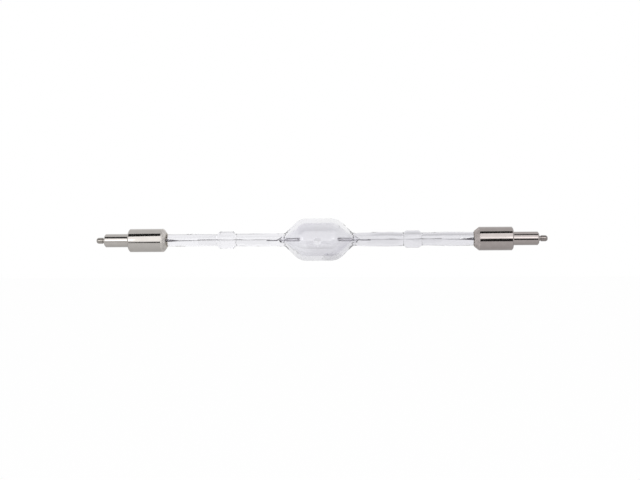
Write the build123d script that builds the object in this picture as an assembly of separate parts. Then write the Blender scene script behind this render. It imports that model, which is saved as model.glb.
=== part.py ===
from build123d import *
import os
from math import cos, radians, sin, sqrt, tan

# Double-ended metal halide lamp. The lamp's axis is X, the bulb's centre is the
# origin, and Z is up. Lengths are in millimetres and angles in degrees.

# Whole lamp
overall_length = 405.0
arc_gap = 34.0

# Quartz bulb
bulb_diameter = 38.0
bulb_flat_length = 18.8
bulb_cone_angle = 45.0
bulb_wall = 4.0
neck_fillet_radius = 3.0
tip_off_base_diameter = 7.0
tip_off_waist_diameter = 3.0
tip_off_waist_height = 1.2
tip_off_end_diameter = 1.8
tip_off_height = 2.4
tip_off_drop_angle = 7.0

# Quartz stems: the tubes drawn for the two sides differ a little
left_inner_stem_diameter = 11.5
left_outer_stem_diameter = 11.1
right_inner_stem_diameter = 12.5
right_outer_stem_diameter = 12.2

# Thickened collar on each stem
collar_distance = 84.1
collar_length = 17.0
collar_diameter = 15.6
collar_ramp_length = 3.0

# Throat round the electrode, and the seal behind it
throat_diameter = 4.6
throat_length = 8.4
seal_clearance = 0.03

# Tungsten electrode
rod_diameter = 3.3
rod_nose_diameter = 2.2
rod_seal_length = 10.0
rod_blade_thickness = 0.6
rod_blade_length = 3.0
rod_taper_length = 4.5
coil_wire_diameter = 0.55
coil_turns = 5
coil_clearance = 0.03
coil_setback = 0.4

# Molybdenum sealing foil
foil_length = 66.0
foil_width = 8.0
foil_thickness = 0.1
foil_flat_width = 4.0
foil_weld_overlap = 2.8

# Molybdenum outer lead
lead_diameter = 2.4
lead_blade_thickness = 0.4
lead_blade_length = 19.0
lead_taper_length = 19.0

# Turned base cap
barrel_diameter = 21.0
barrel_length = 34.0
barrel_mouth_diameter = 14.0
barrel_mouth_taper_length = 3.2
barrel_end_chamfer = 1.0
barrel_bore_diameter = 13.0
barrel_bore_depth = 27.0
pin_diameter = 12.0
pin_length = 22.7
pin_end_chamfer = 1.1

# Contact tip at the end of the pin
tip_length = 7.7
tip_diameter = 5.4
tip_nose_length = 2.3
tip_nose_chamfer = 0.6
tip_flat_diameter = 1.8
tip_neck_diameter = 4.3
tip_neck_length = 1.8
tip_shank_length = 12.0
tip_nose_thickness = 2.6
press_clearance = 0.02

# Cement between stem and cap
stem_insertion = 20.0
cement_recess = 0.4
cement_clearance = 0.03

# Fill of the bulb
mercury_diameter = 3.0
mercury_height = 2.2
mercury_chamfer = 0.8
salt_thickness = 0.2
salt_length = 9.0
salt_width = 7.0
salt_gap = 1.0
salt_shift = 4.7
fill_clearance = 0.05

# Places along the axis, as distances from the bulb's centre
cone_angle = radians(bulb_cone_angle)
cap_mouth_x = overall_length / 2 - tip_length - pin_length - barrel_length
pin_root_x = cap_mouth_x + barrel_length
pin_end_x = pin_root_x + pin_length
bore_floor_x = cap_mouth_x + barrel_bore_depth
stem_end_x = cap_mouth_x + stem_insertion
collar_inner_x = collar_distance - collar_length / 2
collar_outer_x = collar_distance + collar_length / 2
rod_tip_x = arc_gap / 2


def cone_reach(wall, radius):
    """Distance from the centre at which the bulb's cone, a wall inside its skin, comes down to a radius."""
    cone_apex_x = bulb_flat_length / 2 + (bulb_diameter / 2 - wall) / sin(cone_angle)
    return cone_apex_x - radius / tan(cone_angle)


throat_start_x = cone_reach(bulb_wall, throat_diameter / 2)
seal_start_x = throat_start_x + throat_length
rod_end_x = seal_start_x + rod_seal_length
foil_start_x = rod_end_x - foil_weld_overlap
foil_end_x = foil_start_x + foil_length
lead_start_x = foil_end_x - foil_weld_overlap
coil_start_x = rod_tip_x + coil_setback
coil_length = coil_turns * coil_wire_diameter
rod_shoulder_x = coil_start_x + coil_length + coil_clearance

# Places of the fill: the salt reaches up the right shoulder, and the mercury lies beside it on the flat
salt_x = bulb_flat_length / 2 + salt_shift
mercury_x = salt_x - salt_length / 2 - salt_gap - mercury_diameter / 2


def bulb_curve(wall, neck_radius, fillet_radius):
    """Right half of the bulb's outline, from its middle to its neck, a wall's thickness inside its skin."""
    radius = bulb_diameter / 2 - wall
    centre = (bulb_flat_length / 2, 0)
    shoulder = CenterArc(centre, radius, 90, -bulb_cone_angle)
    meeting = Vector(cone_reach(wall, neck_radius), neck_radius)
    tangent_length = fillet_radius * tan(cone_angle / 2)
    cone_end = meeting + Vector(-cos(cone_angle), sin(cone_angle)) * tangent_length
    neck = meeting + Vector(tangent_length, 0)
    flat = Line((0, radius), shoulder @ 0)
    cone = Line(shoulder @ 1, cone_end)
    outline = [flat, shoulder, cone]
    if fillet_radius:
        outline.append(TangentArc(neck, cone_end, tangent=(-1, 0)))
    return outline, neck


def half_blank(inner_stem_diameter, outer_stem_diameter):
    """Half of the envelope as a solid blank, on the right."""
    bulb, neck = bulb_curve(0, inner_stem_diameter / 2, neck_fillet_radius)
    stem = Polyline(
        neck,
        (collar_inner_x, inner_stem_diameter / 2),
        (collar_inner_x + collar_ramp_length, collar_diameter / 2),
        (collar_outer_x - collar_ramp_length, collar_diameter / 2),
        (collar_outer_x, outer_stem_diameter / 2),
        (stem_end_x, outer_stem_diameter / 2),
        (stem_end_x, 0),
        (0, 0),
        (0, bulb_diameter / 2),
    )
    return revolved([*bulb, *stem.edges()])


def revolved(edges):
    """A solid of revolution about the lamp's axis, from edges drawn as distance along it and radius."""
    return revolve(Plane.XZ * make_face(edges), Axis.X)


def turned(*points):
    """A solid of revolution with straight edges between its points."""
    return revolve(Plane.XZ * make_face(Polyline(*points, close=True)), Axis.X)


def bulb_space(wall):
    """The bulb's hollow, a wall inside its skin, with both cones run down to the throat's size."""
    throat_radius = throat_diameter / 2
    bulb, neck = bulb_curve(wall, throat_radius, 0)
    ends = Polyline(neck, (neck.X, 0), (0, 0), (0, bulb_diameter / 2 - wall))
    half = revolved([*bulb, *ends.edges()])
    return half + mirror(half, Plane.YZ)


def round_bar(start_x, end_x, radius):
    """A round bar along the lamp's axis."""
    place = Location(((start_x + end_x) / 2, 0, 0), (0, 90, 0))
    return place * Cylinder(radius, end_x - start_x)


def throat():
    """The narrow hollow round the electrode behind the bulb, on the right."""
    return round_bar(rod_tip_x, seal_start_x, throat_diameter / 2)


def tip_off():
    """The nub left where the exhaust tube was melted off, on the bulb's front, a little below its middle."""
    skin = bulb_diameter / 2
    root = skin - bulb_wall / 2
    base_radius = tip_off_base_diameter / 2
    outline = Polyline(
        (0, root),
        (base_radius, root),
        (base_radius, sqrt(skin**2 - base_radius**2)),
        (tip_off_waist_diameter / 2, skin + tip_off_waist_height),
        (tip_off_end_diameter / 2, skin + tip_off_height),
        (0, skin + tip_off_height),
        close=True,
    )
    upright = revolve(make_face(outline), Axis.Y)
    return Rot(tip_off_drop_angle, 0, 0) * Rot(180, 0, 0) * upright


def ground_rod(diameter, outline, extra):
    """A round rod along the axis whose end is ground flat above and below, to an outline in the XZ plane."""
    ends = [point[0] for point in outline]
    rod = round_bar(min(ends) - extra, max(ends) + extra, diameter / 2 + extra)
    side = make_face(Polyline(*outline, close=True))
    if extra:
        side = offset(side, extra, kind=Kind.INTERSECTION)
    plate = extrude(Plane.XZ * side, diameter, both=True)
    return rod & plate


def rod_shank(extra=0.0):
    """The electrode's rod behind its nose, with the blade that the foil is welded to."""
    reach = rod_diameter
    blade_x = rod_end_x - rod_blade_length
    taper_x = blade_x - rod_taper_length
    top = -foil_thickness / 2
    bottom = top - rod_blade_thickness
    outline = [(rod_shoulder_x, reach), (taper_x, reach), (taper_x, rod_diameter / 2), (blade_x, top)]
    outline += [(rod_end_x, top), (rod_end_x, bottom), (blade_x, bottom), (taper_x, -rod_diameter / 2)]
    outline += [(taper_x, -reach), (rod_shoulder_x, -reach)]
    return ground_rod(rod_diameter, outline, extra)


def electrode_rod():
    """Tungsten rod with a blunt, turned-down nose that carries the coil."""
    return rod_shank() + round_bar(rod_tip_x, rod_shoulder_x, rod_nose_diameter / 2)


def electrode_coil():
    """Close-wound tungsten wire on the electrode's nose, as the sleeve that its turns fill."""
    inner = rod_nose_diameter / 2 + coil_clearance
    outer = inner + coil_wire_diameter
    end_x = coil_start_x + coil_length
    return turned((coil_start_x, inner), (coil_start_x, outer), (end_x, outer), (end_x, inner))


def seal_foil():
    """Molybdenum foil with etched, feathered edges."""
    edge = foil_width / 2
    flat = foil_flat_width / 2
    half = foil_thickness / 2
    section = Polyline((-edge, 0), (-flat, half), (flat, half), (edge, 0), (flat, -half), (-flat, -half), close=True)
    return extrude(Plane.YZ.offset(foil_start_x) * make_face(section), foil_length)


def foil_slot():
    """Room for the foil in the quartz."""
    room = 2 * seal_clearance
    place = Pos((foil_start_x + foil_end_x) / 2, 0, 0)
    return place * Box(foil_length + room, foil_width + room, foil_thickness + room)


def outer_lead(extra=0.0):
    """Molybdenum rod from the foil to the contact tip, ground to a blade at its inner end."""
    end_x = overall_length / 2 - tip_nose_thickness
    taper_x = lead_start_x + lead_blade_length
    full_x = taper_x + lead_taper_length
    reach = lead_diameter
    top = -foil_thickness / 2
    bottom = top - lead_blade_thickness
    outline = [(lead_start_x, top), (taper_x, top), (full_x, lead_diameter / 2), (full_x, reach)]
    outline += [(end_x, reach), (end_x, -reach), (full_x, -reach), (full_x, -lead_diameter / 2)]
    outline += [(taper_x, bottom), (lead_start_x, bottom)]
    return ground_rod(lead_diameter, outline, extra)


def quartz_envelope():
    """The blown quartz piece: bulb, tip-off, stems and collars, hollow where the metal lies."""
    left = mirror(half_blank(left_inner_stem_diameter, left_outer_stem_diameter), Plane.YZ)
    right = half_blank(right_inner_stem_diameter, right_outer_stem_diameter)
    hollow = throat() + rod_shank(seal_clearance) + foil_slot() + outer_lead(seal_clearance)
    return left + right + tip_off() - bulb_space(bulb_wall) - hollow - mirror(hollow, Plane.YZ)


def base_cap():
    """Turned cap: a barrel with a tapered mouth over the stem's end, and the contact pin."""
    barrel = barrel_diameter / 2
    pin = pin_diameter / 2
    bore = barrel_bore_diameter / 2
    pin_bore = tip_neck_diameter / 2 + press_clearance
    return turned(
        (cap_mouth_x, bore),
        (cap_mouth_x, barrel_mouth_diameter / 2),
        (cap_mouth_x + barrel_mouth_taper_length, barrel),
        (pin_root_x - barrel_end_chamfer, barrel),
        (pin_root_x, barrel - barrel_end_chamfer),
        (pin_root_x, pin),
        (pin_end_x - pin_end_chamfer, pin),
        (pin_end_x, pin - pin_end_chamfer),
        (pin_end_x, pin_bore),
        (bore_floor_x, pin_bore),
        (bore_floor_x, bore),
    )


def end_tip():
    """Contact nipple pressed into the pin, with a rounded head, bored for the lead."""
    neck = tip_neck_diameter / 2
    head = tip_diameter / 2
    bore = lead_diameter / 2 + press_clearance
    inner_x = pin_end_x - tip_shank_length
    head_x = pin_end_x + tip_neck_length
    end_x = overall_length / 2
    floor_x = end_x - tip_nose_thickness + press_clearance
    return turned(
        (floor_x, 0),
        (floor_x, bore),
        (inner_x, bore),
        (inner_x, neck),
        (head_x, neck),
        (head_x, head),
        (end_x - tip_nose_length, head),
        (end_x - tip_nose_chamfer, head - tip_nose_chamfer),
        (end_x, tip_flat_diameter / 2),
        (end_x, 0),
    )


def base_cement(stem_diameter):
    """Ring of ceramic cement that holds the cap on the stem."""
    bore = barrel_bore_diameter / 2 - cement_clearance
    stem = stem_diameter / 2 + cement_clearance
    mouth_x = cap_mouth_x + cement_recess
    return turned((mouth_x, stem), (mouth_x, bore), (stem_end_x, bore), (stem_end_x, stem))


def mercury_drop():
    """Drop of mercury on the bulb's curved floor, which its lower rim just clears."""
    floor_z = -sqrt((bulb_diameter / 2 - bulb_wall) ** 2 - (mercury_diameter / 2) ** 2)
    bead = Cylinder(mercury_diameter / 2, mercury_height)
    bead = chamfer(bead.edges().group_by(Axis.Z)[-1], mercury_chamfer)
    return Pos(mercury_x, 0, floor_z + fill_clearance + mercury_height / 2) * bead


def halide_salt():
    """Film of condensed metal halides along the bottom of the bulb."""
    outer = bulb_space(bulb_wall + fill_clearance)
    inner = bulb_space(bulb_wall + fill_clearance + salt_thickness)
    patch = Pos(salt_x, 0, 0) * Ellipse(salt_length / 2, salt_width / 2)
    return (outer - inner) & extrude(patch, -bulb_diameter / 2)


def main():
    right_pieces = {
        "electrode_rod": electrode_rod(),
        "electrode_coil": electrode_coil(),
        "seal_foil": seal_foil(),
        "outer_lead": outer_lead(),
        "base_cap": base_cap(),
        "end_tip": end_tip(),
    }
    parts = {
        "quartz_envelope": quartz_envelope(),
        "mercury_drop": mercury_drop(),
        "halide_salt": halide_salt(),
        "left_base_cement": mirror(base_cement(left_outer_stem_diameter), Plane.YZ),
        "right_base_cement": base_cement(right_outer_stem_diameter),
    }
    for name, piece in right_pieces.items():
        parts["right_" + name] = piece
        parts["left_" + name] = mirror(piece, Plane.YZ)
    os.makedirs("parts", exist_ok=True)
    for name, piece in parts.items():
        export_step(piece, f"parts/{name}.step")


main()
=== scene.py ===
from math import atan2, cos, hypot, pi, radians, sin, sqrt, tan

import bmesh
import bpy
from mathutils import Matrix, Vector, noise


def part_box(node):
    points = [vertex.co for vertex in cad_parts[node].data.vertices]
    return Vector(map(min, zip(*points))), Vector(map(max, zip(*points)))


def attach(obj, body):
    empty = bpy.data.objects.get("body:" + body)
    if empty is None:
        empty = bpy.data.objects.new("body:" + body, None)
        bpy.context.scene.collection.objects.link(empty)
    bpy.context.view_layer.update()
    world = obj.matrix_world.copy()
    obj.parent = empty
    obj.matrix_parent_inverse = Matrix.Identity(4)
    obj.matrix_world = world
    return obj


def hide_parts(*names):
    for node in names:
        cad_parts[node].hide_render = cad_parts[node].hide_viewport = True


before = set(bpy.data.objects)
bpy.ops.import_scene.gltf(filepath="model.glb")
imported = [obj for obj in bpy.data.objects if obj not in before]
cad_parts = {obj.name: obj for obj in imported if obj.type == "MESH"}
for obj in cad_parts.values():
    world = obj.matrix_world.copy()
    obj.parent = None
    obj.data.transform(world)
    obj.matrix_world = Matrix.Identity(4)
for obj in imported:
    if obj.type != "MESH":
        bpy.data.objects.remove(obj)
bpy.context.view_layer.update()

# Double-ended metal halide lamp. Its axis is X, the bulb's centre is the origin and Z is up.
# Sizes are in millimetres and become metres where a mesh is made.
MM = 0.001

# Sizes that the frame gives
envelope_low, envelope_high = (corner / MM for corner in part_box("quartz_envelope"))
cap_low, cap_high = (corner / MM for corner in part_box("right_base_cap"))
tip_low, tip_high = (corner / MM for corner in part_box("right_end_tip"))
rod_low, rod_high = (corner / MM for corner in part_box("right_electrode_rod"))
coil_low, coil_high = (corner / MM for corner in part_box("right_electrode_coil"))
lead_low, lead_high = (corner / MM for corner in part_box("right_outer_lead"))
cement_low, cement_high = (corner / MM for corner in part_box("right_base_cement"))
mercury_low, mercury_high = (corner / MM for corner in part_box("mercury_drop"))
foil_low, foil_high = (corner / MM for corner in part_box("right_seal_foil"))

# Quartz bulb
bulb_radius = envelope_high.z
bulb_wall = 4.0
shoulder_start = 11.0
shoulder_radius = 15.0
neck_fillet = 5.0
neck_middle = 32.5

# Throats, which lead from the bulb's hollow along the electrode rods
throat_radius = 2.3
throat_bulge = 0.6
throat_fillet = 4.0
throat_end = 37.2
throat_closing_start = 0.3
throat_closing_power = 1.3

# Tip-off nub on the bulb's front, a little below its middle
tip_off_height = -envelope_low.y - bulb_radius
tip_off_reach = 3.6
tip_off_power = 1.15
tip_off_angle = radians(-7.0)
tip_off_place = Vector((0, -cos(tip_off_angle), sin(tip_off_angle))) * (bulb_radius + tip_off_height)

# Quartz stems: diameters at distances from the bulb's centre, and the collars between inner and outer stem
stem_end = envelope_high.x
inner_stems = {
    "left": [(30, 11.5), (50, 11.6), (76, 11.4)],
    "right": [(30, 11.6), (58, 13.0), (76, 12.2)],
}
outer_stems = {
    "left": [(92, 10.6), (112, 11.2), (125, 11.0), (158, 11.1)],
    "right": [(92, 11.5), (118, 12.6), (138, 12.0), (158, 12.0)],
}
collars = {
    "left": {"start": 74.9, "end": 92.2, "rise": 2.2, "fall": 3.2},
    "right": {"start": 75.6, "end": 92.6, "rise": 3.0, "fall": 3.8},
}
collar_diameter = 15.6

# Unevenness of the quartz: heights at distances from the bulb's centre, and the size of its features
drawn_ripple = [(28, 0.02), (36, 0.12), (134, 0.12), (138, 0.02)]
drawn_ripple_size = 9.0
neck_ripple = [(26, 0), (29, 0.3), (35, 0.3), (40, 0)]
neck_ripple_size = 2.6
neck_ripple_rounds = 2.4
hollow_ripple = 0.06
hollow_ripple_size = 12.0
hollow_ripple_shift = 40.0

# Turned cap
barrel_length = 34.0
barrel_mouth_radius = 7.0
barrel_mouth_tapers = {-1: 2.6, 1: 4.3}
barrel_mouth_rounding = 2.0
barrel_end_chamfer = 1.0
bore_radius = 6.5
bore_depth = 27.0
bore_rounding = 0.15
pin_radius = 6.0
pin_end_chamfer = 1.1
pin_bore_radius = 2.17
edge_rounding = 0.25
fine_rounding = 0.1

# Contact tip
tip_neck_radius = 2.15
tip_neck_length = 1.8
tip_nose_length = 2.3
tip_flat_radius = 0.9
tip_rounding = 0.2

# Electrode rod and coil
rod_nose_radius = 1.1
rod_nose_rounding = 0.15
rod_shoulder_rounding = 0.12
rod_blade_thickness = 0.6
rod_blade_length = 16.0
rod_taper_length = 4.0
coil_clearance = 0.03
wire_radius = 0.275

# Outer lead
lead_blade_thickness = 0.4
lead_edge_thickness = 0.12
lead_blade_length = 19.0
lead_taper_length = 19.0

# Sealing foil
foil_half_thickness = 0.05
foil_roll = radians(1.8)
foil_roll_change = 0.8
foil_roll_size = 12.0
foil_wave = 0.05
foil_wave_size = 9.0

# Cement
cement_overlap = 0.1
cement_gap = 0.01
cement_hollow = 0.2
cement_ripple = 0.06
cement_face_shares = (0, 0.15, 0.35, 0.5, 0.65, 0.85, 1)

# Mercury bead
bead_power = 0.8
bead_undercut = 0.15

# Halide film
film_thickness = 0.15
film_depth = 0.06
film_centre = Vector((11.0, -2.0))
film_half_length = 8.5
film_half_width = 9.5
film_edge_wave = 0.22
film_cover = (0.08, 0.22)
film_fade = (0, 1.1)

# Tones of the quartz, with painted shade low down and a painted highlight round the nub: the ranges in
# which one gives way to the next, and how far the borders wander
left_tint_border = (-18, -12)
right_tint_border = (20, 30)
low_shade_border = (-17, -9)
tint_border_wander = 3.0
tint_border_wander_size = 9.0
# The quartz turns white round the nub, which is a painted highlight
nub_highlight_border = (2.0, 4.2)
rough_neck_border = (3, 6)
neck_roughness = 0.07
streak_stretch = 0.12
streak_size = 2.2
streak_depth = 0.05

# Skin of the metals
metal_relief = 0.01
cap_roughness = 0.07
tip_roughness = 0.08
wear_roughness = 0.03
groove_roughness = (-0.02, 0.03)
groove_relief = 0.25
groove_density = 5.5
groove_slope = 0.77
patch_size = 5.0
matt_lengths = {"left": 3.8, "right": 4.6}
matt_border = 0.1
matt_roughness = 0.42
matt_paleness = 1.4
matt_mottling = (0.3, 0.6)
mottling_by_grit = 0.5
mottling_by_patches = 0.35
grit_size = 0.5
grit_relief = 4.0
tungsten_roughness = (0.3, 0.4)
molybdenum_roughness = (0.3, 0.5)
mercury_roughness = (0.02, 0.06)
grains_to_a_patch = 6

# Camera
camera_distance = 893.0
camera_yaw = radians(3.8)
camera_roll = radians(0.325)
camera_lens = 56.0
picture_size = (640, 480)
lamp_centre_in_picture = (318.8, 239.53)

# Room and cards
room_level = 0.75
floor_depth = 260.0
floor_reach = 6000.0
floor_white_share = 0.97
softbox_distance = 1500.0
upper_card_distance = 1300.0
glint_distance = upper_card_distance - 10
tip_glint_distance = upper_card_distance - 20
lower_card_distance = 500.0
near_card_distance = 70.0
left_strip = (0, 15)
right_strip = (4, 17)
metal_only = ("glossy",)
glass_only = ("transmission",)
metal_and_glass = ("glossy", "transmission")

# Angles between faces above which an edge is drawn sharp
sharp_angle = radians(38)
quartz_sharp_angle = radians(60)


# Outlines, meshes and pieces


def arc(centre_x, centre_r, radius, start, end, steps):
    """Points of an arc in an outline, between two angles in degrees."""
    angles = [radians(start + (end - start) * i / steps) for i in range(steps + 1)]
    return [(centre_x + radius * cos(a), centre_r + radius * sin(a)) for a in angles]


def rounded(corners, steps=5):
    """An outline through corners (x, r, rounding), where each inner corner has an arc of its own radius."""
    outline = [corners[0][:2]]
    for before, (x, r, rounding), after in zip(corners, corners[1:], corners[2:]):
        corner = Vector((x, r))
        if not rounding:
            outline.append((x, r))
            continue
        back = (Vector(before[:2]) - corner).normalized()
        ahead = (Vector(after[:2]) - corner).normalized()
        half_angle = back.angle(ahead) / 2
        centre = corner + (back + ahead).normalized() * rounding / sin(half_angle)
        first = corner + back * rounding / tan(half_angle) - centre
        last = corner + ahead * rounding / tan(half_angle) - centre
        start = atan2(first.y, first.x)
        turn = (atan2(last.y, last.x) - start + pi) % (2 * pi) - pi
        for step in range(steps + 1):
            angle = start + turn * step / steps
            outline.append((centre.x + rounding * cos(angle), centre.y + rounding * sin(angle)))
    outline.append(corners[-1][:2])
    return outline


def eased(table, x):
    """A value read from a short table of (x, value), easing from each row to the next."""
    if x <= table[0][0]:
        return table[0][1]
    for (x0, v0), (x1, v1) in zip(table, table[1:]):
        if x <= x1:
            t = (x - x0) / (x1 - x0)
            return v0 + (v1 - v0) * t * t * (3 - 2 * t)
    return table[-1][1]


def make_object(name, data):
    """A new object for a mesh, lamp or camera, at the origin and linked into the scene."""
    made = bpy.data.objects.new(name, data)
    bpy.context.scene.collection.objects.link(made)
    return made


def mesh_of_rings(name, rings, closed=False, inside_out=False):
    """A closed, smooth-shaded mesh through rings of points, where a ring of one point is a pole."""
    shape = bmesh.new()
    loops = [[shape.verts.new(Vector(point) * MM) for point in points] for points in rings]
    pairs = list(zip(loops, loops[1:]))
    if closed:
        pairs.append((loops[-1], loops[0]))
    for near, far in pairs:
        count = max(len(near), len(far))
        for k in range(count):
            n = (k + 1) % count
            if len(near) == 1:
                shape.faces.new((near[0], far[k], far[n]))
            elif len(far) == 1:
                shape.faces.new((near[n], near[k], far[0]))
            else:
                shape.faces.new((near[n], near[k], far[k], far[n]))
    bmesh.ops.recalc_face_normals(shape, faces=shape.faces)
    if inside_out:
        bmesh.ops.reverse_faces(shape, faces=shape.faces)
    mesh = bpy.data.meshes.new(name)
    shape.to_mesh(mesh)
    shape.free()
    mesh.shade_smooth()
    mesh.set_sharp_from_angle(angle=sharp_angle)
    return mesh


def even_angles(count):
    """Angles evenly round the axis, from the front upwards."""
    return [2 * pi * k / count for k in range(count)]


def ring(x, radius, angles, side):
    """Points round the lamp's axis; angle 0 is the front and a quarter turn is the top."""
    if radius < 1e-6:
        return [(side * x, 0, 0)]
    return [(side * x, -radius * cos(a), radius * sin(a)) for a in angles]


def uneven_ring(x, radii, angles):
    """Points round the lamp's axis, with a radius for each angle."""
    return [(x, -r * cos(a), r * sin(a)) for r, a in zip(radii, angles)]


def turned(name, outline, segments, side, closed=False):
    """A mesh turned about the lamp's axis from an outline of distance and radius."""
    angles = even_angles(segments)
    return mesh_of_rings(name, [ring(x, r, angles, side) for x, r in outline], closed)


def add_piece(name, mesh, finish, slot, *nodes):
    """A piece of the lamp with its material, standing for CAD nodes that it hides; the record's slot is not
    used.
    """
    piece = make_object(name, mesh)
    piece.data.materials.append(finish)
    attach(piece, "root")
    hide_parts(*nodes)
    return piece


# Quartz envelope


def stem_radius(x, side_name):
    """Radius of a stem at a distance from the bulb's centre, with its collar."""
    collar = collars[side_name]
    middle = (collar["start"] + collar["end"]) / 2
    diameters = inner_stems[side_name] if x < middle else outer_stems[side_name]
    radius = eased(diameters, x) / 2
    rise = eased([(collar["start"], 0), (collar["start"] + collar["rise"], 1)], x)
    fall = eased([(collar["end"] - collar["fall"], 1), (collar["end"], 0)], x)
    return radius + (collar_diameter / 2 - radius) * min(rise, fall)


def bulb_outline(wall, end_radius, fillet, steps):
    """Half of the bulb's outline from beside its middle to its neck, a wall inside its skin.

    The shoulder turns through 45 degrees into a cone, on which x and r have the same sum everywhere.
    """
    centre_r = bulb_radius - shoulder_radius
    shoulder = arc(shoulder_start, centre_r, shoulder_radius - wall, 90, 45, steps)
    neck_x = sum(shoulder[-1]) - end_radius
    cone = [(*shoulder[-1], 0), (neck_x, end_radius, fillet), (neck_x + fillet, end_radius, 0)]
    return shoulder[:-1] + rounded(cone, steps)[:-1]


def half_envelope_outline(side_name):
    """Outline of the envelope from beside the bulb's middle to the stem's end, on one side."""
    across_nub = [(i / 4, bulb_radius) for i in range(1, 19)]
    beyond_nub = [(i + 0.5, bulb_radius) for i in range(5, 10)]
    neck_radius = inner_stems[side_name][0][1] / 2
    bulb = bulb_outline(0, neck_radius, neck_fillet, 8)
    stem_start = bulb[-1][0]
    steps = 150
    places = [stem_start + (stem_end - stem_start) * i / steps for i in range(1, steps + 1)]
    stem = [(x, stem_radius(x, side_name)) for x in places]
    return across_nub + beyond_nub + bulb + stem + [(stem_end, 0)]


def throat_outline(start):
    """Outline of a throat, which bulges a little and closes onto the rod."""
    outline = []
    steps = 20
    for i in range(1, steps):
        share = i / steps
        closing = max(0, (share - throat_closing_start) / (1 - throat_closing_start))
        radius = (throat_radius + throat_bulge * sin(pi * share)) * (1 - closing ** throat_closing_power)
        outline.append((start + (throat_end - start) * share, radius))
    return outline + [(throat_end, 0)]


def whole_outline(left, middle_radius, right):
    """Outline from the left end to the right one, from two halves that leave out the middle."""
    return [(-x, r) for x, r in reversed(left)] + [(0, middle_radius)] + right


def tip_off_rise(x, angle):
    """Height of the melted-off nub above the bulb's skin."""
    away = hypot(x, bulb_radius * (angle - tip_off_angle)) / tip_off_reach
    return tip_off_height * (1 - away * away) ** tip_off_power if away < 1 else 0.0


def ripple(x, angle, size, height, rounds=1.3):
    """Unevenness of the quartz, with features about a size long; more rounds make them narrower."""
    return height * noise.noise(Vector((x / size, rounds * cos(angle), rounds * sin(angle))))


def envelope_angles():
    """Angles round the envelope, closer together across the nub."""
    half = tip_off_reach / bulb_radius
    fine_count, coarse_count = 36, 100
    fine = [tip_off_angle - half + 2 * half * k / fine_count for k in range(fine_count)]
    coarse_start = tip_off_angle + half
    coarse = [coarse_start + (2 * pi - 2 * half) * k / coarse_count for k in range(coarse_count)]
    return fine + coarse


def quartz_skin_mesh():
    """Outer skin of the bulb with its nub, the stems and their collars."""
    angles = envelope_angles()
    rings = []
    for x, r in whole_outline(half_envelope_outline("left"), bulb_radius, half_envelope_outline("right")):
        drawn = eased(drawn_ripple, abs(x))
        pinched = eased(neck_ripple, abs(x))
        radii = []
        for a in angles:
            uneven = ripple(x, a, drawn_ripple_size, drawn)
            creased = ripple(x, a, neck_ripple_size, pinched, neck_ripple_rounds)
            radii.append(r + tip_off_rise(x, a) + uneven + creased)
        rings.append(uneven_ring(x, radii, angles) if r else [(x, 0, 0)])
    return mesh_of_rings("quartz_skin", rings)


def quartz_hollow_mesh():
    """Skin of the bulb's hollow with both throats, which faces inwards."""
    radius = bulb_radius - bulb_wall
    half = [(i, radius) for i in range(1, 11)]
    half += bulb_outline(bulb_wall, throat_radius, throat_fillet, 10)
    half += throat_outline(half[-1][0])
    angles = even_angles(96)
    rings = []
    for x, r in whole_outline(half, radius, half):
        place = x + hollow_ripple_shift
        radii = [r + ripple(place, a, hollow_ripple_size, hollow_ripple) for a in angles]
        rings.append(uneven_ring(x, radii, angles) if r else [(x, 0, 0)])
    return mesh_of_rings("quartz_hollow", rings, inside_out=True)


def envelope_mesh():
    """The quartz as one mesh: its outer skin, and its hollow with a second material."""
    skin = quartz_skin_mesh()
    joined = bmesh.new()
    joined.from_mesh(skin)
    joined.from_mesh(quartz_hollow_mesh())
    joined.faces.ensure_lookup_table()
    for face in joined.faces[len(skin.polygons):]:
        face.material_index = 1
    mesh = bpy.data.meshes.new("quartz_envelope")
    joined.to_mesh(mesh)
    joined.free()
    mesh.shade_smooth()
    mesh.set_sharp_from_angle(angle=quartz_sharp_angle)
    return mesh


# Metal parts


def cap_mesh(side):
    """Turned cap with its barrel, pin and bores."""
    mouth, pin_end, barrel = cap_low.x, cap_high.x, cap_high.z
    root = mouth + barrel_length
    floor = mouth + bore_depth
    corners = [
        (floor, bore_radius, 0),
        (mouth, bore_radius, bore_rounding),
        (mouth, barrel_mouth_radius, edge_rounding),
        (mouth + barrel_mouth_tapers[side], barrel, barrel_mouth_rounding),
        (root - barrel_end_chamfer, barrel, edge_rounding),
        (root, barrel - barrel_end_chamfer, edge_rounding),
        (root, pin_radius, fine_rounding),
        (pin_end - pin_end_chamfer, pin_radius, edge_rounding),
        (pin_end, pin_radius - pin_end_chamfer, edge_rounding),
        (pin_end, pin_bore_radius, fine_rounding),
        (floor, pin_bore_radius, 0),
    ]
    return turned("cap", rounded(corners), 128, side, closed=True)


def tip_mesh(side):
    """Contact nipple with a round-nosed head on a narrower neck."""
    head = tip_high.z
    head_start = cap_high.x + tip_neck_length
    nose_start = tip_high.x - tip_nose_length
    corners = [
        (tip_low.x, 0, 0),
        (tip_low.x, tip_neck_radius, tip_rounding),
        (head_start, tip_neck_radius, fine_rounding),
        (head_start, head, tip_rounding),
        (nose_start, head, 0),
    ]
    nose = []
    for i in range(1, 9):
        angle = pi / 2 * i / 8
        radius = tip_flat_radius + (head - tip_flat_radius) * cos(angle)
        nose.append((nose_start + tip_nose_length * sin(angle), radius))
    return turned("tip", rounded(corners) + nose + [(tip_high.x, 0)], 64, side)


def ground_rod(name, stations, side, segments):
    """A round rod whose sections (x, radius, bottom, top) are ground flat below and above."""
    rings = []
    for x, radius, bottom, top in stations:
        points = ring(x, radius, even_angles(segments), side)
        rings.append([(px, py, min(max(pz, bottom), top)) for px, py, pz in points])
    return mesh_of_rings(name, rings)


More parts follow.
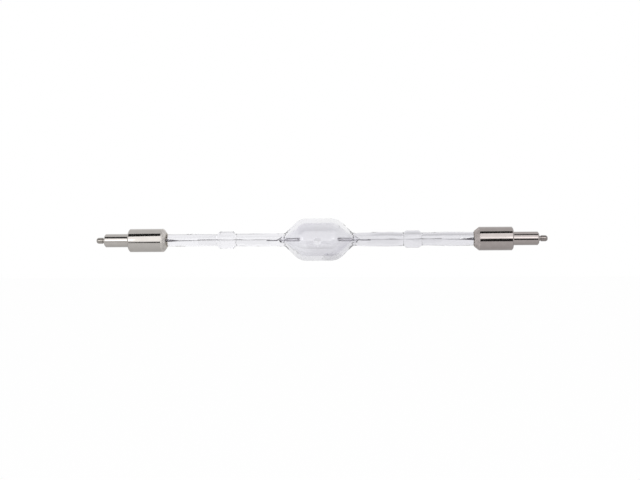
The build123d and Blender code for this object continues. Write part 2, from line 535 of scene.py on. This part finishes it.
def electrode_rod_mesh(side):
    """Tungsten rod with a blunt nose and a blade at its outer end."""
    radius = rod_high.y
    shoulder = coil_high.x + coil_clearance
    blade = rod_high.x - rod_blade_length
    taper = blade - rod_taper_length
    top = -foil_half_thickness
    bottom = top - rod_blade_thickness
    middle = (bottom + top) / 2
    corners = [
        (rod_low.x, 0, 0),
        (rod_low.x, rod_nose_radius, rod_nose_rounding),
        (shoulder, rod_nose_radius, 0),
        (shoulder, radius, rod_shoulder_rounding),
        (taper, radius, 0),
    ]
    stations = [(x, r, -radius, radius) for x, r in rounded(corners)]
    stations += [(blade, radius, bottom, top), (rod_high.x, radius, bottom, top)]
    stations.append((rod_high.x, 0, middle, middle))
    return ground_rod("electrode_rod", stations, side, 48)


def finish_blade(rod, finish):
    """Gives the rod's blade, sealed in the quartz beyond the throat, a finish of its own."""
    rod.data.materials.append(finish)
    for face in rod.data.polygons:
        if abs(face.center.x) > throat_end * MM:
            face.material_index = 1


def outer_lead_mesh(side):
    """Molybdenum rod with a blade at its inner end."""
    radius = lead_high.y
    taper = lead_low.x + lead_blade_length
    full = taper + lead_taper_length
    top = -foil_half_thickness
    bottom = top - lead_blade_thickness
    edge = top - lead_edge_thickness
    stations = [
        (lead_low.x, 0, top, top),
        (lead_low.x, radius, edge, top),
        (taper, radius, bottom, top),
        (full, radius, -radius, radius),
        (lead_high.x, radius, -radius, radius),
        (lead_high.x, 0, 0, 0),
    ]
    return ground_rod("outer_lead", stations, side, 40)


def foil_mesh(side):
    """Sealing foil, thin towards its long edges, a little wavy and rolled about the axis."""
    rings, middles = [], []
    steps = 120
    for i in range(steps + 1):
        x = foil_low.x + (foil_high.x - foil_low.x) * i / steps
        roll = foil_roll * (1 + foil_roll_change * noise.noise(Vector((x / foil_roll_size, 0, side))))
        lift = foil_wave * noise.noise(Vector((x / foil_wave_size, 3, side)))
        points = []
        for a in even_angles(24):
            across, thick = -foil_high.y * cos(a), foil_half_thickness * sin(a)
            points.append((side * x, across, thick + lift + across * sin(roll)))
        rings.append(points)
        middles.append((side * x, 0, lift))
    return mesh_of_rings("foil", [middles[:1]] + rings + [middles[-1:]])


def coil_mesh(side):
    """Close-wound wire on the electrode's nose."""
    start = coil_low.x + wire_radius
    length = coil_high.x - coil_low.x - 2 * wire_radius
    turns = length / (2 * wire_radius)
    winding_radius = coil_high.z - wire_radius
    rings, middles = [], []
    steps = round(turns * 40)
    for i in range(steps + 1):
        angle = 2 * pi * turns * i / steps
        outward = Vector((0, -cos(angle), sin(angle)))
        middle = Vector((start + length * i / steps, 0, 0)) + outward * winding_radius
        spokes = [Vector((cos(a), 0, 0)) + outward * sin(a) for a in even_angles(14)]
        rings.append([middle + spoke * wire_radius for spoke in spokes])
        middles.append(middle)
    rings = [middles[:1]] + rings + [middles[-1:]]
    return mesh_of_rings("coil", [[(side * p.x, p.y, p.z) for p in points] for points in rings])


def cement_mesh(side, quartz_radius):
    """Ring of cement with an uneven, hollowed face at the cap's mouth."""
    angles = even_angles(96)
    inner, outer = quartz_radius - cement_overlap, bore_radius - cement_gap
    rings = []
    for share in cement_face_shares:
        radius = inner + (outer - inner) * share
        hollow = cement_hollow * sin(pi * share)
        points = []
        for a in angles:
            uneven = 1 + noise.noise(Vector((3 * cos(a), 3 * sin(a), 4 * share + side)))
            x = cap_low.x + hollow + cement_ripple * uneven
            points.append((side * x, -radius * cos(a), radius * sin(a)))
        rings.append(points)
    rings.append(ring(cement_high.x, outer, angles, side))
    rings.append(ring(cement_high.x, inner, angles, side))
    return mesh_of_rings("cement", rings, closed=True)


# Fill of the bulb


def mercury_mesh():
    """A squat bead of mercury on the bulb's floor."""
    middle = (mercury_low + mercury_high) / 2
    half = (mercury_high - mercury_low) / 2
    rings = [[middle - Vector((0, 0, half.z))]]
    steps = 24
    for i in range(1, steps):
        angle = pi * i / steps - pi / 2
        undercut = 1 - bead_undercut * cos(angle) if angle < 0 else 1
        height = half.z * (sin(angle) * undercut)
        radius = half.x * cos(angle) ** bead_power
        rings.append([middle + Vector((radius * cos(a), radius * sin(a), height)) for a in even_angles(48)])
    rings.append([middle + Vector((0, 0, half.z))])
    return mesh_of_rings("mercury", rings)


def inner_bulb_radius(x):
    """Radius of the bulb's hollow at a distance from its middle, on its cylinder, shoulder and cone."""
    along = x - shoulder_start
    radius = shoulder_radius - bulb_wall
    if along < 0:
        return bulb_radius - bulb_wall
    if along < radius * sqrt(0.5):
        return bulb_radius - shoulder_radius + sqrt(radius * radius - along * along)
    return bulb_radius - shoulder_radius + 2 * radius * sqrt(0.5) - along


def halide_mesh():
    """Film of condensed salts on the bulb's floor, reaching up its right shoulder, with a wavy edge."""
    middle_angle = -pi / 2 - film_centre.y / inner_bulb_radius(0)
    half_angle = film_half_width / inner_bulb_radius(0)
    upper, lower = [], []
    steps = 16
    for i in range(steps + 1):
        share = i / steps
        top, bottom = [], []
        for t in even_angles(72):
            wave = 1 + film_edge_wave * noise.noise(Vector((2 * cos(t), 2 * sin(t), 5)))
            x = film_centre.x + film_half_length * share * wave * cos(t)
            angle = middle_angle + half_angle * share * wave * sin(t)
            radius = inner_bulb_radius(x) + film_depth
            thickness = film_thickness * sqrt(max(0, 1 - share * share))
            for points, r in ((bottom, radius), (top, radius - thickness)):
                points.append((x, -r * cos(angle), r * sin(angle)))
        upper.append(top if i else top[:1])
        lower.append(bottom if i else bottom[:1])
    return mesh_of_rings("halide", upper + lower[-2::-1])


# Materials


def connect(tree, value, socket):
    """Links a socket, or sets a plain value; a colour has three numbers."""
    if isinstance(value, bpy.types.NodeSocket):
        tree.links.new(value, socket)
    elif socket.type == "RGBA":
        socket.default_value = (*value, 1)
    else:
        socket.default_value = value


def new_material(name, **settings):
    """A material, its node tree and its principled shader, with settings on the shader's own sockets."""
    material = bpy.data.materials.new(name)
    material.use_nodes = True
    tree = material.node_tree
    shader = tree.nodes["Principled BSDF"]
    for socket, value in settings.items():
        connect(tree, value, shader.inputs[socket.replace("_", " ")])
    return material, tree, shader


def add(tree, kind, options=None, **inputs):
    """A node with its options and inputs set; an input that is a socket is linked."""
    made = tree.nodes.new("ShaderNode" + kind)
    for option, value in (options or {}).items():
        setattr(made, option, value)
    for name, value in inputs.items():
        connect(tree, value, made.inputs[name.replace("_", " ")])
    return made


def math(tree, operation, first, second=0.0):
    """Output of a math node."""
    made = add(tree, "Math", {"operation": operation})
    connect(tree, first, made.inputs[0])
    connect(tree, second, made.inputs[1])
    return made.outputs[0]


def plus(tree, first, second):
    """Sum of two values or sockets."""
    return math(tree, "ADD", first, second)


def times(tree, first, second):
    """Product of two values or sockets."""
    return math(tree, "MULTIPLY", first, second)


def millimetres(tree):
    """The surface point in millimetres, in the lamp's own frame."""
    scaled = add(tree, "VectorMath", {"operation": "SCALE"}, Scale=1 / MM)
    connect(tree, add(tree, "TexCoord").outputs["Object"], scaled.inputs[0])
    return scaled.outputs[0]


def parts_of(tree, place):
    """The three numbers of a point: along the axis, across it and up."""
    return add(tree, "SeparateXYZ", Vector=place).outputs


def cloud(tree, place, size, detail=3.0, roughness=0.55):
    """Soft noise whose features are about a size in millimetres."""
    made = add(tree, "TexNoise", Vector=place, Scale=1 / size, Detail=detail, Roughness=roughness)
    return made.outputs["Fac"]


def spread(tree, value, low, high, start=0.3, end=0.7):
    """A value from low to high while another runs from start to end; noise mostly runs from 0.3 to 0.7."""
    inputs = {"Value": value, "From_Min": start, "From_Max": end, "To_Min": low, "To_Max": high}
    return add(tree, "MapRange", **inputs).outputs[0]


def blend(tree, share, first, second):
    """Colour between two colours or sockets."""
    made = add(tree, "Mix", {"data_type": "RGBA"})
    connect(tree, share, made.inputs["Factor"])
    colour_inputs = [socket for socket in made.inputs if socket.type == "RGBA"]
    connect(tree, first, colour_inputs[0])
    connect(tree, second, colour_inputs[1])
    return [socket for socket in made.outputs if socket.type == "RGBA"][0]


def bump(tree, height, depth, strength=1.0):
    """Normal from a height in shares of a depth in millimetres."""
    return add(tree, "Bump", Height=height, Distance=depth * MM, Strength=strength).outputs[0]


def ring_place(tree, place):
    """A number that grows along and away from the axis, the same all round it, for marks of turning."""
    along, across, height = parts_of(tree, place)
    square = plus(tree, times(tree, across, across), times(tree, height, height))
    return plus(tree, along, times(tree, math(tree, "SQRT", square), groove_slope))


def quartz(name, slant, left, middle, right, low):
    """Clear fused quartz, with a faint tone that differs at the left, in the bulb and at the right. Its
    darker tone low down is painted shade, and its white round the nub is a painted highlight.

    The slant says how the borders between the tints lean with height.
    """
    material, tree, shader = new_material(name, Transmission_Weight=1.0, IOR=1.458, Specular_IOR_Level=0.3)
    place = millimetres(tree)
    along, across, height = parts_of(tree, place)
    wander = cloud(tree, place, tint_border_wander_size)
    uneven = plus(tree, along, spread(tree, wander, -tint_border_wander, tint_border_wander))
    uneven = plus(tree, uneven, times(tree, height, slant))
    tint = blend(tree, spread(tree, uneven, 0, 1, *left_tint_border), left, middle)
    tint = blend(tree, spread(tree, uneven, 0, 1, *right_tint_border), tint, right)
    # Painted shade: the quartz is darker low down
    tint = blend(tree, spread(tree, height, 1, 0, *low_shade_border), tint, low)
    # Painted highlight: the quartz is white round the nub
    from_nub = add(tree, "VectorMath", {"operation": "DISTANCE"})
    connect(tree, place, from_nub.inputs[0])
    connect(tree, tip_off_place, from_nub.inputs[1])
    nub_highlight = spread(tree, from_nub.outputs["Value"], 1, 0, *nub_highlight_border)
    connect(tree, blend(tree, nub_highlight, tint, (1, 1, 1)), shader.inputs["Base Color"])
    from_neck = math(tree, "SUBTRACT", math(tree, "ABSOLUTE", along), neck_middle)
    rough = spread(tree, math(tree, "ABSOLUTE", from_neck), neck_roughness, 0, *rough_neck_border)
    connect(tree, rough, shader.inputs["Roughness"])
    drawn_place = add(tree, "Mapping", Vector=place, Scale=(streak_stretch, 1, 1)).outputs[0]
    streaks = cloud(tree, drawn_place, streak_size, detail=2.0)
    connect(tree, bump(tree, streaks, streak_depth, strength=0.2), shader.inputs["Normal"])
    return material


def nickel(name, light, dark, roughness, matt_length=0.0):
    """Bright nickel plate over turned brass, blasted matt on the tapered mouth."""
    material, tree, shader = new_material(name, Metallic=1.0)
    place = millimetres(tree)
    matt_end = cap_low.x + matt_length
    from_middle = math(tree, "ABSOLUTE", parts_of(tree, place)[0])
    matt = spread(tree, from_middle, 1, 0, matt_end - matt_border, matt_end + matt_border)
    grit = cloud(tree, place, grit_size, detail=4.0)
    patches = spread(tree, cloud(tree, place, patch_size, detail=4.0), 0, 1)
    turning = {"W": ring_place(tree, place), "Scale": groove_density, "Detail": 4.0}
    grooves = add(tree, "TexNoise", {"noise_dimensions": "1D"}, **turning).outputs["Fac"]
    pale = [level * matt_paleness for level in light]
    mottled = plus(tree, times(tree, grit, mottling_by_grit), times(tree, patches, mottling_by_patches))
    blasted = blend(tree, spread(tree, mottled, 0, 1, *matt_mottling), pale, light)
    polished = blend(tree, patches, light, dark)
    connect(tree, blend(tree, matt, polished, blasted), shader.inputs["Base Color"])
    wear = spread(tree, patches, roughness, roughness + wear_roughness, 0, 1)
    polish = plus(tree, spread(tree, grooves, *groove_roughness), wear)
    connect(tree, plus(tree, polish, times(tree, matt, matt_roughness)), shader.inputs["Roughness"])
    pitted = times(tree, times(tree, matt, grit), grit_relief)
    relief = plus(tree, times(tree, grooves, groove_relief), pitted)
    connect(tree, bump(tree, relief, metal_relief, strength=0.25), shader.inputs["Normal"])
    return material


def plain_metal(name, light, dark, roughness, grain, edge=1.0):
    """Bare metal with patches of tone and a fine, uneven skin; a dull edge tone is for oxidised metal."""
    material, tree, shader = new_material(name, Metallic=1.0, Specular_Tint=(edge, edge, edge))
    place = millimetres(tree)
    patches = spread(tree, cloud(tree, place, grain * grains_to_a_patch), 0, 1)
    fine = cloud(tree, place, grain, detail=4.0)
    connect(tree, blend(tree, patches, light, dark), shader.inputs["Base Color"])
    connect(tree, spread(tree, fine, *roughness), shader.inputs["Roughness"])
    connect(tree, bump(tree, fine, metal_relief, strength=0.6), shader.inputs["Normal"])
    return material


def cement():
    """Off-white ceramic cement with fine grit."""
    material, tree, shader = new_material("ceramic_cement", Roughness=0.85)
    place = millimetres(tree)
    grit = cloud(tree, place, size=0.25, detail=5.0, roughness=0.7)
    colour = blend(tree, spread(tree, grit, 0, 1), (0.78, 0.72, 0.62), (0.58, 0.53, 0.45))
    connect(tree, colour, shader.inputs["Base Color"])
    connect(tree, bump(tree, grit, depth=0.08), shader.inputs["Normal"])
    return material


def halide():
    """Thin, crystalline film of condensed halides, purplish grey, that thins out towards its edge."""
    material, tree, shader = new_material("condensed_halide", Roughness=0.55, IOR=1.6)
    place = millimetres(tree)
    crystals = cloud(tree, place, size=0.5, detail=5.0, roughness=0.7)
    colour = blend(tree, spread(tree, crystals, 0, 1), (0.58, 0.56, 0.63), (0.42, 0.40, 0.47))
    connect(tree, colour, shader.inputs["Base Color"])
    along, across, _ = parts_of(tree, place)
    along = math(tree, "DIVIDE", math(tree, "SUBTRACT", along, film_centre.x), film_half_length)
    across = math(tree, "DIVIDE", math(tree, "SUBTRACT", across, film_centre.y), film_half_width)
    away = plus(tree, times(tree, along, along), times(tree, across, across))
    cover = times(tree, spread(tree, crystals, *film_cover), spread(tree, away, 1, 0, *film_fade))
    connect(tree, cover, shader.inputs["Alpha"])
    connect(tree, bump(tree, crystals, depth=0.1), shader.inputs["Normal"])
    return material


# Studio


def make_camera():
    """The photograph's view: square on to the lamp, a little from the right, with its slight roll."""
    data = bpy.data.cameras.new("camera")
    data.lens = camera_lens
    data.clip_start = 0.01
    width, height = picture_size
    data.shift_x = (width / 2 - lamp_centre_in_picture[0]) / width
    data.shift_y = (lamp_centre_in_picture[1] - height / 2) / width
    camera = make_object("camera", data)
    back = Vector((sin(camera_yaw), -cos(camera_yaw), 0))
    camera.location = back * camera_distance * MM
    level = (-back).to_track_quat("-Z", "Y").to_matrix()
    camera.rotation_euler = (level @ Matrix.Rotation(camera_roll, 3, "Z").inverted()).to_euler()
    bpy.context.scene.camera = camera


def seen_ray(tree):
    """One for rays that show the background: from the camera, a reflection or through glass."""
    path = add(tree, "LightPath").outputs
    seen = math(tree, "MAXIMUM", path["Is Camera Ray"], path["Is Transmission Ray"])
    return math(tree, "MAXIMUM", seen, path["Is Glossy Ray"])


def make_world():
    """Pale room light, with a white background."""
    world = bpy.data.worlds.new("room")
    world.use_nodes = True
    tree = world.node_tree
    light = tree.nodes["Background"]
    connect(tree, (1, 1, 1), light.inputs["Color"])
    whitened = times(tree, seen_ray(tree), 1 - room_level)
    connect(tree, plus(tree, room_level, whitened), light.inputs["Strength"])
    bpy.context.scene.world = world


def band(start, end, low, high):
    """Rows of a card that keeps its elevations from one x to another."""
    return [(start, low, high), (end, low, high)]


def card(name, distance, level, rays, rows, fade_along=None, fade_behind=None, sparkle=0.0):
    """A card curved round the lamp's axis, between two elevations in degrees from the front at each x.

    It can fade into the white room along x, and from the front to the back, and sparkle in polished glass.
    """
    steps = 12
    corners = []
    for x, low, high in rows:
        for i in range(steps + 1):
            angle = radians(low + (high - low) * i / steps)
            corners.append(Vector((x, -cos(angle) * distance, sin(angle) * distance)) * MM)
    faces = []
    for column in range(len(rows) - 1):
        first = column * (steps + 1)
        faces += [(k, k + 1, k + steps + 2, k + steps + 1) for k in range(first, first + steps)]
    mesh = bpy.data.meshes.new(name)
    mesh.from_pydata(corners, [], faces)
    made = make_object(name, mesh)
    material, tree, shader = new_material(
        name, Roughness=1.0, Specular_IOR_Level=0.0, Base_Color=(0, 0, 0), Emission_Color=(1, 1, 1)
    )
    along, behind, _ = parts_of(tree, millimetres(tree))
    share = 1.0
    if fade_along:
        share = times(tree, share, spread(tree, along, 0, 1, *fade_along))
    if fade_behind:
        share = times(tree, share, spread(tree, behind, 0, 1, *fade_behind))
    strength = math(tree, "SUBTRACT", 1.0, times(tree, share, 1 - level))
    polished = add(tree, "LightPath").outputs["Is Singular Ray"]
    strength = plus(tree, strength, times(tree, polished, sparkle))
    connect(tree, strength, shader.inputs["Emission Strength"])
    mesh.materials.append(material)
    made.visible_camera = False
    made.visible_diffuse = False
    made.visible_shadow = False
    made.visible_glossy = "glossy" in rays
    made.visible_transmission = "transmission" in rays


def softbox(name, elevation, distance, height, width, level):
    """A broad soft lamp that faces the object, at an elevation from the front, in degrees."""
    data = bpy.data.lights.new(name, "AREA")
    data.shape = "RECTANGLE"
    data.size = width * MM
    data.size_y = height * MM
    data.energy = level * pi * data.size * data.size_y
    lamp = make_object(name, data)
    angle = radians(elevation)
    direction = Vector((0, -cos(angle), sin(angle)))
    lamp.location = direction * distance * MM
    lamp.rotation_euler = direction.to_track_quat("Z", "Y").to_euler()


def make_floor():
    """Plain pale floor, white where it is seen, that keeps the lamp's shadow."""
    square = [(-1, -1), (1, -1), (1, 1), (-1, 1)]
    corners = [(x * floor_reach * MM, y * floor_reach * MM, -floor_depth * MM) for x, y in square]
    mesh = bpy.data.meshes.new("floor")
    mesh.from_pydata(corners, [], [(0, 1, 2, 3)])
    floor = make_object("floor", mesh)
    material, tree, shader = new_material(
        "pale_floor", Roughness=1.0, Specular_IOR_Level=0.0, Base_Color=(0.95, 0.95, 0.95)
    )
    white = add(tree, "Emission", Strength=1.0)
    mixed = add(tree, "MixShader")
    connect(tree, times(tree, seen_ray(tree), floor_white_share), mixed.inputs[0])
    connect(tree, shader.outputs[0], mixed.inputs[1])
    connect(tree, white.outputs[0], mixed.inputs[2])
    connect(tree, mixed.outputs[0], tree.nodes["Material Output"].inputs["Surface"])
    mesh.materials.append(material)


# View and light
make_camera()
make_world()
make_floor()
softbox("front_softbox", elevation=18.5, distance=softbox_distance, height=2060, width=3000, level=0.95)

# Cards above and below the lamp, which draw the dark lines and bright strips along its metal
upper_rows = [(-1500, 27.6, 65.6), (1500, 67.9, 81.3)]
lower_rows = [(-488, -22.5, -22.5), (-275, -24, -16), (210, -27.5, -1.3), (600, -29, -2)]
card("upper_dark_card", upper_card_distance, 0.03, metal_and_glass, upper_rows)
card("lower_dark_card", lower_card_distance, 0.04, metal_only, lower_rows)
card("right_bright_strip", upper_card_distance, 2.55, metal_only, band(0, 900, *right_strip))
card("left_glint", glint_distance, 1.95, metal_only, band(-1000, -450, *left_strip), sparkle=6)
card("right_glint", glint_distance, 2.55, metal_only, band(262, 700, *right_strip), sparkle=7)
card("left_tip_glint", tip_glint_distance, 3.2, metal_only, band(-1000, -552, *left_strip))
card("right_tip_glint", tip_glint_distance, 3.4, metal_only, band(394, 700, *right_strip))

# Cards close to the lamp, which shade its metal from below and its glass from below, above and behind
floor_shade_rows = band(-400, 400, -175, -45)
table_edge_rows = band(-38, 18, -168.9, -167.5)
left_under_rows = band(-400, -50, -138, -87)
right_under_rows = band(44, 400, -162, -130)
right_top_rows = band(50, 400, 87, 128)
card("table_edge_card", near_card_distance, 0.84, glass_only, table_edge_rows, fade_along=(18, 6))
card("floor_shade_card", near_card_distance, 0.74, metal_only, floor_shade_rows, fade_behind=(-50, 50))
card("left_under_card", near_card_distance, 0.72, glass_only, left_under_rows, fade_along=(-50, -64))
card(
    "right_under_card", near_card_distance, 0.78, glass_only, right_under_rows,
    fade_along=(44, 56), fade_behind=(50, 62),
)
card("right_top_card", near_card_distance, 0.45, glass_only, right_top_rows, fade_along=(50, 62))

# Materials of the pieces
# The colours given as low are painted shade on the quartz's lower part
quartz_skin = quartz(
    "fused_quartz",
    slant=-0.8,
    left=(0.86, 0.857, 0.885),
    middle=(0.86, 0.858, 0.875),
    right=(0.74, 0.735, 0.77),
    low=(0.76, 0.755, 0.785),
)
quartz_hollow = quartz(
    "quartz_hollow",
    slant=0.8,
    left=(0.9, 0.9, 0.925),
    middle=(0.815, 0.81, 0.84),
    right=(0.93, 0.93, 0.95),
    low=(0.78, 0.775, 0.8),
)
nickel_materials = {
    "left": nickel(
        "left_nickel", (0.455, 0.433, 0.412), (0.42, 0.398, 0.377), cap_roughness, matt_lengths["left"]
    ),
    "right": nickel(
        "right_nickel", (0.352, 0.32, 0.31), (0.318, 0.285, 0.277), cap_roughness, matt_lengths["right"]
    ),
}
tip_materials = {
    "left": nickel("left_tip_nickel", (0.33, 0.31, 0.29), (0.29, 0.27, 0.25), tip_roughness),
    "right": nickel("right_tip_nickel", (0.27, 0.245, 0.235), (0.235, 0.21, 0.2), tip_roughness),
}
tungsten_material = plain_metal(
    "tungsten", (0.66, 0.65, 0.67), (0.58, 0.57, 0.59), tungsten_roughness, grain=0.2
)
coil_material = plain_metal(
    "tungsten_coil", (0.56, 0.55, 0.57), (0.48, 0.47, 0.49), tungsten_roughness, grain=0.2
)
molybdenum_material = plain_metal(
    "molybdenum", (0.36, 0.35, 0.37), (0.26, 0.25, 0.28), molybdenum_roughness, grain=0.3, edge=0.3
)
lead_material = plain_metal(
    "molybdenum_lead", (0.2, 0.19, 0.21), (0.13, 0.12, 0.14), molybdenum_roughness, grain=0.3, edge=0.3
)
mercury_material = plain_metal(
    "liquid_mercury", (0.78, 0.78, 0.8), (0.72, 0.72, 0.75), mercury_roughness, grain=2.0
)
cement_material = cement()
halide_material = halide()

# Pieces
quartz_piece = add_piece("quartz", envelope_mesh(), quartz_skin, "quartz_glass", "quartz_envelope")
quartz_piece.data.materials.append(quartz_hollow)
for name, side in (("left", -1), ("right", 1)):
    add_piece(name + "_cap", cap_mesh(side), nickel_materials[name], "nickel_plate", name + "_base_cap")
    add_piece(name + "_tip", tip_mesh(side), tip_materials[name], "nickel_tip", name + "_end_tip")
    rod_mesh = electrode_rod_mesh(side)
    rod = add_piece(name + "_rod", rod_mesh, tungsten_material, "tungsten", name + "_electrode_rod")
    finish_blade(rod, molybdenum_material)
    add_piece(name + "_coil", coil_mesh(side), coil_material, "tungsten", name + "_electrode_coil")
    add_piece(name + "_lead", outer_lead_mesh(side), lead_material, "molybdenum", name + "_outer_lead")
    ring_mesh = cement_mesh(side, eased(outer_stems[name], cement_low.x) / 2)
    add_piece(name + "_cement", ring_mesh, cement_material, "cement", name + "_base_cement")
    add_piece(name + "_foil", foil_mesh(side), molybdenum_material, "molybdenum", name + "_seal_foil")
add_piece("mercury", mercury_mesh(), mercury_material, "mercury", "mercury_drop")
add_piece("halide", halide_mesh(), halide_material, "halide_salt", "halide_salt")

bpy.context.scene.view_settings.view_transform = "Standard"
bpy.context.scene.cycles.max_bounces = 32
bpy.context.scene.cycles.glossy_bounces = 16
bpy.context.scene.cycles.transmission_bounces = 24
